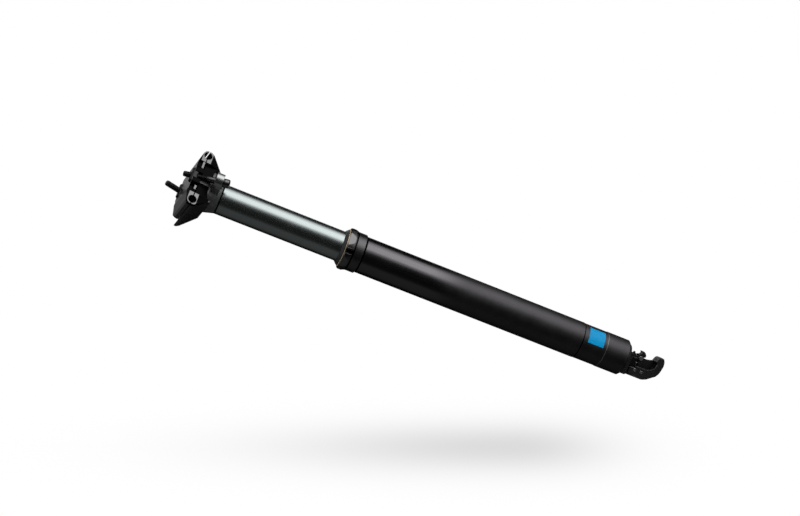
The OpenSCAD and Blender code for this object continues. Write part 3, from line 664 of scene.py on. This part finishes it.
def bolt_faces(tree, place):
    """Mask of the bolts' smooth shanks and heads, which get a lighter colour than the thread. The darker thread is
    partly painted shade in its grooves.
    """
    forward, _, up = split_place(tree, place)
    front, rear = joint_places["front_bolt_rock"], joint_places["rear_bolt_rock"]
    seat = blend_values(tree, above(tree, forward, 0.0), rear.z, front.z)
    rise = math_node(tree, "SUBTRACT", up, seat)
    return map_range(tree, rise, *SHANK_END, 0.0, 1.0), None


# Threaded clamp bolts


BOLT_SIDES = 96
# Edges with a greater angle between their faces stay sharp
SHARP_ANGLE = math.radians(32)
# The thread: its depth as a share of the pitch, rings in a turn, the slope of its flanks
# and the flat at its root, and the turns over which it fades at the tip and at the shank
THREAD_DEPTH = 0.55
TURN_RINGS = 6
FLANK_SLOPE = 1.35
ROOT_FLAT = 0.12
TIP_FADE = 1.2
SHANK_FADE = 1.5
# The tip's bevel, as depths below the tip and shares of the thread's core
TIP_BEVEL = ((0.0, 0.82), (0.15 * MM, 0.98))
THREAD_START = 0.3 * MM
# Fillet and bevels, as heights and as changes of the radius that they start from
SEAT_FILLET = ((0.5 * MM, 0.0), (0.12 * MM, 0.08 * MM), (0.0, 0.3 * MM))
HEAD_TOP_BEVEL = ((0.0, -0.25 * MM), (-0.25 * MM, -0.06 * MM))
HEAD_FOOT_BEVEL = ((0.12 * MM, -0.22 * MM), (0.0, -0.5 * MM))
# The head's ridges, as shares of its height, where the first and the last stay plain
RIDGE_SHARES = (0.12, 0.2, 0.78, 0.86)
RIDGE_DEPTH = 0.12 * MM
RIDGE_INSET = 0.06 * MM
# The hexagon socket: its bevel's width and height, its depth as a share of the head's
# height, and the drilled cone at its end
SOCKET_BEVEL = 0.22 * MM
SOCKET_BEVEL_RISE = 0.25 * MM
SOCKET_DEPTH = 0.5
CONE_STEP = 0.1 * MM
CONE_SHARE = 0.9
CONE_DEPTH = 0.36
CONE_TIP = 0.05 * MM


def bolt_rings(bolt):
    """Rings of (height, radius for a turn) from the bolt's tip down to its socket."""
    crest = bolt.diameter / 2
    depth = THREAD_DEPTH * bolt.pitch
    core = crest - depth
    head = bolt.head_diameter / 2
    foot = -bolt.head_height
    across = bolt.socket / 2
    rings = []

    def plain(height, radius):
        rings.append((height, lambda turn: radius))

    def thread(height, fade, end):
        def radius(turn):
            phase = (height / bolt.pitch - turn) % 1.0
            rise = max(0.0, min(1.0, FLANK_SLOPE * (1 - abs(2 * phase - 1)) - ROOT_FLAT))
            full = core + depth * rise
            return end + (full - end) * fade
        return radius

    def ridge(turn):
        wave = 0.5 + 0.5 * math.cos(2 * math.pi * bolt.ridges * turn)
        return head - RIDGE_DEPTH * (1 - wave)

    def hexagon(turn, grow=0.0):
        sector = (turn * 6) % 1.0 - 0.5
        return (across + grow) / math.cos(sector * math.pi / 3)

    for drop, share in TIP_BEVEL:
        plain(bolt.length - drop, core * share)
    rows = int(bolt.thread / bolt.pitch * TURN_RINGS)
    for row in range(rows + 1):
        height = bolt.length - THREAD_START - row * bolt.pitch / TURN_RINGS
        fade = min(1.0, row / (TIP_FADE * TURN_RINGS), (rows - row) / (SHANK_FADE * TURN_RINGS))
        rings.append((height, thread(height, fade, core if row < rows / 2 else crest)))
    for height, change in SEAT_FILLET:
        plain(height, crest + change)
    for height, change in HEAD_TOP_BEVEL:
        plain(height, head + change)
    for share in RIDGE_SHARES:
        if share in (RIDGE_SHARES[0], RIDGE_SHARES[-1]):
            plain(share * foot, head - RIDGE_INSET)
        else:
            rings.append((share * foot, ridge))
    for height, change in HEAD_FOOT_BEVEL:
        plain(foot + height, head + change)
    rings.append((foot, lambda turn: hexagon(turn, SOCKET_BEVEL)))
    rings.append((foot + SOCKET_BEVEL_RISE, hexagon))
    rings.append((foot * SOCKET_DEPTH, hexagon))
    plain(foot * SOCKET_DEPTH + CONE_STEP, across * CONE_SHARE)
    plain(foot * CONE_DEPTH, CONE_TIP)
    return rings


def bolt_mesh(name, bolt, seat, target):
    """Loft of the rings, stood on the seat and leaned towards the cross nut."""
    made = bmesh.new()
    loops = []
    for height, radius in bolt_rings(bolt):
        loop = []
        for step in range(BOLT_SIDES):
            turn = step / BOLT_SIDES
            angle = 2 * math.pi * turn
            reach = radius(turn)
            loop.append(made.verts.new(
                (reach * math.cos(angle), reach * math.sin(angle), height)))
        loops.append(loop)
    for upper, lower in zip(loops, loops[1:]):
        for step in range(BOLT_SIDES):
            after = (step + 1) % BOLT_SIDES
            made.faces.new((upper[step], lower[step], lower[after], upper[after]))
    made.faces.new(loops[0])
    made.faces.new(list(reversed(loops[-1])))
    bmesh.ops.recalc_face_normals(made, faces=made.faces)
    for face in made.faces:
        face.smooth = True
    for edge in made.edges:
        edge.smooth = edge.calc_face_angle(0.0) < SHARP_ANGLE
    lean = (target - seat).to_track_quat("Z", "Y").to_matrix().to_4x4()
    made.transform(Matrix.Translation(seat) @ lean)
    mesh = bpy.data.meshes.new(name)
    made.to_mesh(mesh)
    made.free()
    return link_object(name, mesh)


# Camera and studio


POST = Vector((0, 0, 1))
SENSOR_WIDTH = 36


def camera_axes(view):
    """Right, up and back of the picture, in the part's own axes."""
    azimuth, elevation, roll = view.azimuth, view.elevation, view.roll
    back = Vector((
        math.sin(azimuth) * math.cos(elevation), -math.cos(azimuth) * math.cos(elevation),
        math.sin(elevation)))
    level = Vector((math.cos(azimuth), math.sin(azimuth), 0))
    plumb = back.cross(level)
    up = plumb * math.cos(roll) + level * math.sin(roll)
    return up.cross(back), up, back


def post_axes(view):
    """Directions square to the post: towards the camera, and up in the picture."""
    _, up, back = camera_axes(view)
    facing = (back - POST * back.dot(POST)).normalized()
    upward = POST.cross(facing)
    if upward.dot(up) < 0:
        upward.negate()
    return facing, upward


def around(view, angle, reach):
    """Place at an angle round the post, from the camera's side upwards in the picture."""
    facing, upward = post_axes(view)
    bend = math.radians(angle)
    return Vector(view.aim) + (facing * math.cos(bend) + upward * math.sin(bend)) * reach


def place_camera(scene, view):
    right, up, back = camera_axes(view)
    lens = bpy.data.cameras.new("photo_camera")
    lens.lens = view.lens
    lens.sensor_width = SENSOR_WIDTH
    lens.sensor_fit = "HORIZONTAL"
    lens.clip_start = 0.05
    lens.clip_end = 20
    scene.camera = link_object("photo_camera", lens)
    turn = Matrix((right, up, back)).transposed().to_4x4()
    scene.camera.matrix_world = Matrix.Translation(
        Vector(view.aim) + back * view.distance) @ turn


# Grey of the glowing cloths by their angle round the post, from the camera's side upwards: painted reflections for
# the glossy parts
CLOTH_GLOW_TONES = (
    (-170, 0.35), (-158, 0.01), (-118, 0.06), (-102, 0.22), (-52, 0.26), (-40, 0.08),
    (-25, 0.045), (5, 0.06), (16, 0.12), (28, 0.35), (106, 0.10), (135, 0.05), (176, 0.02))
CARD_GLOW_TONES = ((-180, 1.0), (180, 1.0))


def glowing_sheet_material(name, view, level, tones):
    """Glowing surface whose grey changes round the post, which paints the tones that glossy parts reflect."""
    material = bpy.data.materials.new(name)
    tree = empty_tree(material)
    surface = add_node(tree, "ShaderNodeNewGeometry")
    from_post = add_node(tree, "ShaderNodeVectorMath", operation="SUBTRACT")
    join(tree, surface.outputs["Position"], from_post.inputs[0])
    from_post.inputs[1].default_value = view.aim
    facing, upward = post_axes(view)
    sides = []
    for direction in (upward, facing):
        part = add_node(tree, "ShaderNodeVectorMath", operation="DOT_PRODUCT")
        join(tree, from_post.outputs[0], part.inputs[0])
        part.inputs[1].default_value = direction
        sides.append(part.outputs["Value"])
    turn = math_node(tree, "ARCTAN2", *sides)
    share = map_range(tree, turn, -math.pi, math.pi, 0.0, 1.0)
    greys = add_node(tree, "ShaderNodeValToRGB")
    stops = greys.color_ramp.elements
    for angle, _ in tones[2:]:
        stops.new((angle + 180) / 360)
    for stop, (angle, tone) in zip(stops, tones):
        stop.position = (angle + 180) / 360
        stop.color = (tone, tone, tone, 1)
    join(tree, share, greys.inputs[0])
    light = add_node(tree, "ShaderNodeEmission", Strength=level)
    join(tree, greys.outputs[0], light.inputs["Color"])
    set_surface(tree, light.outputs[0])
    return material


def stage_sheet(name, rows, material):
    """A sheet of quads over rows of points."""
    mesh = bpy.data.meshes.new(name)
    across = len(rows[0])
    points = [tuple(point) for row in rows for point in row]
    faces = [
        (r * across + c, r * across + c + 1, (r + 1) * across + c + 1, (r + 1) * across + c)
        for r in range(len(rows) - 1) for c in range(across - 1)]
    mesh.from_pydata(points, [], faces)
    mesh.materials.append(material)
    sheet = link_object(name, mesh)
    return sheet


def flat_sheet(name, material, left, right, low, high):
    return stage_sheet(name, [
        [(left, low, 0), (right, low, 0)], [(left, high, 0), (right, high, 0)]], material)


def only_in_reflections(sheet):
    for kind in ("camera", "diffuse", "transmission", "volume_scatter", "shadow"):
        setattr(sheet, "visible_" + kind, False)


# Each cloth: name, angles round the post, distance from it and span along it
CLOTHS = (
    ("front_cloth", (-45, 29), 0.9, (-1.3, 1.3)),
    ("rear_cloth", (106, 178), 0.9, (-1.3, 1.3)))
TOP_CARD = ("top_card", (150, 180), 0.88, (0.3, 1.2))
CLOTH_STEPS = 12


def add_cloth(view, material, name, angles, reach, span):
    """Bent glowing sheet round the post that only reflections see: a painted reflection."""
    low, high = angles
    rows = [[around(view, low + (high - low) * step / CLOTH_STEPS, reach) + POST * height
             for height in span] for step in range(CLOTH_STEPS + 1)]
    only_in_reflections(stage_sheet(name, rows, material))


# Each lamp: name, angle round the post, distance from it, sizes and the level it is set by
LAMPS = (
    ("softbox", 68, 0.8, (1.5, 0.88), "softbox_level"),
    ("strip_light", 64, 0.75, (1.4, 0.5), "strip_level"),
    ("back_strip", 162, 0.8, (1.4, 0.2), "back_level"))


def add_lamp(name, place, towards, size, level):
    """Rectangular lamp that faces a point, with its first size along the post."""
    lamp = bpy.data.lights.new(name, "AREA")
    lamp.shape = "RECTANGLE"
    lamp.size, lamp.size_y = size
    lamp.energy = level * math.pi * size[0] * size[1]
    back = (place - towards).normalized()
    side = (POST - back * POST.dot(back)).normalized()
    turn = Matrix((side, back.cross(side), back)).transposed()
    made = link_object(name, lamp)
    made.matrix_world = Matrix.Translation(place) @ turn.to_4x4()
    made.visible_camera = False


def background_ray(tree):
    """1 for camera, glossy and transmission rays, which see the white background."""
    rays = add_node(tree, "ShaderNodeLightPath").outputs
    seen = either(tree, rays["Is Camera Ray"], rays["Is Glossy Ray"])
    return either(tree, seen, rays["Is Transmission Ray"])


def make_world(ambient):
    world = bpy.data.worlds.new("studio_room")
    tree = empty_tree(world)
    white = add_node(tree, "ShaderNodeBackground", Color=(1, 1, 1, 1), Strength=1.0)
    room = add_node(tree, "ShaderNodeBackground", Color=(1, 1, 1, 1), Strength=ambient)
    mixed = mix_shaders(tree, background_ray(tree), room.outputs[0], white.outputs[0])
    set_surface(tree, mixed, "ShaderNodeOutputWorld")
    world.cycles.sampling_method = "NONE"
    bpy.context.scene.world = world


# The painted soft shadow's middle in the picture and its spread each way, in pixels
SHADOW_AT = (514, 447)
SHADOW_LEFT = 165
SHADOW_RIGHT = 68
SHADOW_DOWN = 13
FLOOR_EDGES = (-2.0, 2.0, -2.0, 2.0)
# The dim card that lies just over the floor, a painted shade in reflections, measured from the shadow's middle
CARD_EDGES = (-1.2, 1.2, -1.0, 2.0)
CARD_RISE = 2 * MM


def floor_shade(tree, pixel, studio):
    """Brightness of the floor, with a painted shadow, a soft oval round its middle."""
    place = add_node(tree, "ShaderNodeTexCoord")
    right, away, _ = split_place(tree, place.outputs["Object"])
    spread = blend_values(
        tree, below(tree, right, 0.0), SHADOW_RIGHT * pixel, SHADOW_LEFT * pixel)
    along = math_node(tree, "DIVIDE", right, spread)
    down = math_node(
        tree, "DIVIDE", away, SHADOW_DOWN * pixel / math.sin(studio.floor_slope))
    reach = sum_of_squares(
        tree, math_node(tree, "ABSOLUTE", along), math_node(tree, "ABSOLUTE", down))
    fall = math_node(tree, "EXPONENT", math_node(tree, "MULTIPLY", reach, -0.5))
    return math_node(tree, "SUBTRACT", 1.0, math_node(tree, "MULTIPLY", fall, studio.shadow))


def make_floor(view, studio):
    """White floor with a painted soft shadow. It is clear when it is seen from below."""
    right, up, back = camera_axes(view)
    slope = studio.floor_slope
    normal = up * math.cos(slope) + back * math.sin(slope)
    nearer = back * math.cos(slope) - up * math.sin(slope)
    pixel = view.distance / (view.lens / SENSOR_WIDTH * IMAGE_WIDTH)
    middle = (Vector(view.aim) + right * (SHADOW_AT[0] - IMAGE_WIDTH / 2) * pixel
              + up * (IMAGE_HEIGHT / 2 - SHADOW_AT[1]) * pixel)
    material = bpy.data.materials.new("white_floor")
    tree = empty_tree(material)
    shown = add_node(tree, "ShaderNodeEmission")
    join(tree, floor_shade(tree, pixel, studio), shown.inputs["Strength"])
    matt = add_node(tree, "ShaderNodeBsdfDiffuse", Color=(0.8, 0.8, 0.8, 1))
    ground = mix_shaders(tree, background_ray(tree), matt.outputs[0], shown.outputs[0])
    surface = add_node(tree, "ShaderNodeNewGeometry")
    clear = add_node(tree, "ShaderNodeBsdfTransparent")
    set_surface(tree, mix_shaders(
        tree, surface.outputs["Backfacing"], ground, clear.outputs[0]))
    floor = flat_sheet("floor", material, *FLOOR_EDGES)
    turn = Matrix((right, -nearer, normal)).transposed()
    floor.matrix_world = Matrix.Translation(middle) @ turn.to_4x4()
    return floor, normal


class SEATPOST_OT_dress_outer_tube(bpy.types.Operator):
    """Black anodised outer tube, its foot plug and the plain blue patch"""

    bl_idname = "seatpost.dress_outer_tube"
    bl_label = "Dress Outer Tube"

    def execute(self, context):
        colours = context.scene.seatpost_colours
        dress(tube_finish(colours.outer_tube, colours.bare_metal), "lower_tube")
        dress(patch_finish(colours.patch), "label_patch")
        dress(metal_finish(
            "plug_black", colours.outer_tube, 1.0, 0.36, pitch=0.0003, wear_and_highlight=0.2,
            worn_and_highlight=colours.bare_metal, rim=0.5), "base_plug")
        return {"FINISHED"}


class SEATPOST_OT_dress_collar(bpy.types.Operator):
    """Black collar with turned marks, the gold ring, the rubber wiper and its seals"""

    bl_idname = "seatpost.dress_collar"
    bl_label = "Dress Collar"

    def execute(self, context):
        colours = context.scene.seatpost_colours
        bare = colours.bare_metal
        dress(metal_finish(
            "collar_black", colours.collar, 1.0, 0.33, pitch=0.00035, depth=0.000003,
            wear_and_highlight=0.15, worn_and_highlight=bare, edge=0.00025, rim=0.5, face_and_shade_masks=collar_faces,
            cut_colour=(0.092, 0.092, 0.094), cut_roughness=0.26), "collar")
        dress(metal_finish(
            "accent_pale_gold", colours.accent, 0.3, 0.46, pitch=0.0002,
            depth=0.000002, edge=0.00012, shade=0.1), "accent_ring")
        dress(soft_finish(
            "wiper_rubber", colours.rubber, 0.55, 0.00018, 0.000006),
            "wiper_seal", "collar_oring")
        dress(soft_finish("oil_foam", (0.42, 0.34, 0.20), 0.9, 0.0005, 0.0002), "foam_ring")
        return {"FINISHED"}


class SEATPOST_OT_dress_inner_post(bpy.types.Operator):
    """Hard anodised inner post, with the bushings and keys that guide it"""

    bl_idname = "seatpost.dress_inner_post"
    bl_label = "Dress Inner Post"

    def execute(self, context):
        colours = context.scene.seatpost_colours
        dress(metal_finish(
            "inner_post_grey", colours.inner_post, 1.0, 0.24, change=0.04,
            grain=0.00016, stretch=0.5, depth=0.0000004, shade=0.06, edge=0.0002, rim=0.5,
            face_and_shade_masks=stanchion_faces), "stanchion")
        dress(soft_finish("bushing_liner", (0.20, 0.21, 0.15), 0.5, 0.0002, 0.00001),
              "upper_bushing", "lower_bushing")
        dress(metal_finish(
            "key_brass", (0.56, 0.38, 0.15), 1.0, 0.3, grain=0.0003, shade=0.12),
            "anti_rotation_keys")
        return {"FINISHED"}


class SEATPOST_OT_dress_cartridge(bpy.types.Operator):
    """Gas cartridge inside the post: cylinder, pistons, rod, gland and nuts"""

    bl_idname = "seatpost.dress_cartridge"
    bl_label = "Dress Cartridge"

    def execute(self, context):
        bare = context.scene.seatpost_colours.bare_metal
        dress(metal_finish(
            "cartridge_aluminium", bare, 1.0, 0.32, pitch=0.0003, depth=0.000003),
            "gas_cylinder", "rod_gland", "cylinder_retainer", "floating_piston",
            "main_piston")
        dress(metal_finish(
            "rod_hard_chrome", (0.66, 0.66, 0.68), 1.0, 0.12, change=0.03, stretch=0.4,
            depth=0.0000005, shade=0.03), "piston_rod", "release_pin")
        dress(metal_finish(
            "nut_black_oxide", (0.03, 0.03, 0.032), 1.0, 0.34, pitch=0.0004, wear_and_highlight=0.25,
            worn_and_highlight=bare), "rod_nut")
        dress(soft_finish("ring_plastic", (0.75, 0.75, 0.72), 0.45, 0.0004, 0.00001),
              "centring_ring")
        return {"FINISHED"}


class SEATPOST_OT_dress_head(bpy.types.Operator):
    """Black blasted head and the steel washers under its bolts"""

    bl_idname = "seatpost.dress_head"
    bl_label = "Dress Head"

    def execute(self, context):
        colours = context.scene.seatpost_colours
        bare = colours.bare_metal
        dress(metal_finish(
            "head_black", colours.head, 0.7, 0.5, grain=0.0002, depth=0.000008,
            edge=0.0006, wear_and_highlight=0.05, worn_and_highlight=bare, rim=0.5, face_and_shade_masks=head_faces,
            cut_colour=(0.26, 0.265, 0.265), cut_roughness=0.3), "seatpost_head")
        dress(metal_finish(
            "washer_steel", (0.30, 0.30, 0.30), 1.0, 0.34, grain=0.0002, edge=0.0002),
            "front_washer", "rear_washer")
        return {"FINISHED"}


class SEATPOST_OT_dress_saddle_clamp(bpy.types.Operator):
    """Black clamp halves with bright cut faces at the front, and the cross nuts"""

    bl_idname = "seatpost.dress_saddle_clamp"
    bl_label = "Dress Saddle Clamp"

    def execute(self, context):
        colours = context.scene.seatpost_colours
        bare = colours.bare_metal
        dress(metal_finish(
            "clamp_black", colours.clamp, 0.9, 0.38, grain=0.0002, depth=0.000006,
            edge=0.0004, wear_and_highlight=0.1, worn_and_highlight=bare, rim=0.5, face_and_shade_masks=clamp_faces,
            cut_colour=colours.cut_face),
            "lower_clamp", "upper_clamp")
        dress(metal_finish(
            "cross_nut_black", colours.bolt, 1.0, 0.36, grain=0.0002, depth=0.000004,
            edge=0.0002, wear_and_highlight=0.15, worn_and_highlight=bare, rim=0.6), "front_cross_nut",
            "rear_cross_nut")
        return {"FINISHED"}


class SEATPOST_OT_build_clamp_bolts(bpy.types.Operator):
    """Two socket head bolts with a cut thread, in place of the plain ones"""

    bl_idname = "seatpost.build_clamp_bolts"
    bl_label = "Build Clamp Bolts"

    def execute(self, context):
        colours = context.scene.seatpost_colours
        # The thread keeps the darker black oxide, which is partly painted shade in its grooves.
        finish = metal_finish(
            "bolt_black_oxide", colours.bolt, 1.0, 0.36, grain=0.00015,
            depth=0.000003, edge=0.0001, wear_and_highlight=0.1, worn_and_highlight=colours.bare_metal, rim=0.6,
            face_and_shade_masks=bolt_faces, cut_colour=(0.085, 0.085, 0.085), cut_roughness=0.22)
        for side in ("front", "rear"):
            piece = bolt_mesh(
                side + "_bolt_threaded", context.scene.seatpost_bolts,
                joint_places[side + "_bolt_rock"], joint_places[side + "_nut_turn"])
            piece.data.materials.append(finish)
            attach(piece, side + "_bolt")
            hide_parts(side + "_bolt")
        return {"FINISHED"}


class SEATPOST_OT_dress_release(bpy.types.Operator):
    """Cable release at the foot: cast bracket, side plate, lever, rivets and pivot"""

    bl_idname = "seatpost.dress_release"
    bl_label = "Dress Release"

    def execute(self, context):
        colours = context.scene.seatpost_colours
        bare = colours.bare_metal
        dress(metal_finish(
            "bracket_black", colours.bracket, 0.9, 0.4, grain=0.0003, depth=0.00001,
            edge=0.0005, wear_and_highlight=0.15, worn_and_highlight=bare, rim=0.5), "actuator_bracket", "side_plate")
        dress(metal_finish(
            "lever_black", colours.bracket, 0.9, 0.34, grain=0.0002, depth=0.000006,
            edge=0.0004, wear_and_highlight=0.25, worn_and_highlight=bare, rim=0.5), "actuator_lever")
        dress(metal_finish(
            "rivet_steel", bare, 1.0, 0.26, grain=0.0002, edge=0.0002, depth=0.000003),
            "side_plate_rivets", "lever_pivot_pin")
        return {"FINISHED"}


class SEATPOST_OT_build_stage(bpy.types.Operator):
    """Camera at the photograph's angle, white floor, lamps, dark cloths and cards"""

    bl_idname = "seatpost.build_stage"
    bl_label = "Build Stage"

    def execute(self, context):
        scene = context.scene
        view, studio = scene.seatpost_camera, scene.seatpost_studio
        place_camera(scene, view)
        scene.view_settings.view_transform = "Standard"
        for name, angle, reach, size, level in LAMPS:
            add_lamp(name, around(view, angle, reach), Vector(view.aim), size,
                     getattr(studio, level))
        make_world(studio.ambient)
        floor, normal = make_floor(view, studio)
        # Painted reflections: glowing cloths and a pale card, dark round most of the post and pale behind its
        # upper part.
        cloth = glowing_sheet_material("studio_cloth_glow", view, studio.cloth_level, CLOTH_GLOW_TONES)
        pale = glowing_sheet_material("pale_card_glow", view, studio.card_level, CARD_GLOW_TONES)
        for measures in CLOTHS:
            add_cloth(view, cloth, *measures)
        add_cloth(view, pale, *TOP_CARD)
        # Painted shade in reflections: a dim card just over the floor darkens what the post's underside reflects.
        card = flat_sheet("floor_card", cloth, *CARD_EDGES)
        card.matrix_world = Matrix.Translation(normal * CARD_RISE) @ floor.matrix_world
        only_in_reflections(card)
        return {"FINISHED"}


OPERATORS = (
    SEATPOST_OT_dress_outer_tube,
    SEATPOST_OT_dress_collar,
    SEATPOST_OT_dress_inner_post,
    SEATPOST_OT_dress_cartridge,
    SEATPOST_OT_dress_head,
    SEATPOST_OT_dress_saddle_clamp,
    SEATPOST_OT_build_clamp_bolts,
    SEATPOST_OT_dress_release,
    SEATPOST_OT_build_stage,
)

SETTINGS = {
    "seatpost_camera": SeatpostCamera,
    "seatpost_studio": SeatpostStudio,
    "seatpost_colours": SeatpostColours,
    "seatpost_bolts": SeatpostBolts,
}


class SEATPOST_PT_panel(bpy.types.Panel):
    """Buttons for the groups of pieces and the stage, with their settings"""

    bl_label = "Seatpost"
    bl_idname = "SEATPOST_PT_panel"
    bl_space_type = "VIEW_3D"
    bl_region_type = "UI"
    bl_category = "Seatpost"

    def draw(self, context):
        for operator in OPERATORS:
            self.layout.operator(operator.bl_idname)
        for group in SETTINGS:
            box = self.layout.box()
            settings = getattr(context.scene, group)
            for name in settings.bl_rna.properties.keys():
                if name not in ("rna_type", "name"):
                    box.prop(settings, name)


def register():
    for group in SETTINGS.values():
        bpy.utils.register_class(group)
    for name, group in SETTINGS.items():
        setattr(bpy.types.Scene, name, PointerProperty(type=group))
    for operator in OPERATORS:
        bpy.utils.register_class(operator)
    bpy.utils.register_class(SEATPOST_PT_panel)


def unregister():
    bpy.utils.unregister_class(SEATPOST_PT_panel)
    for operator in reversed(OPERATORS):
        bpy.utils.unregister_class(operator)
    for name, group in SETTINGS.items():
        delattr(bpy.types.Scene, name)
        bpy.utils.unregister_class(group)


def main():
    register()
    for operator in OPERATORS:
        group, _, name = operator.bl_idname.partition(".")
        getattr(getattr(bpy.ops, group), name)()


if __name__ == "__main__":
    main()
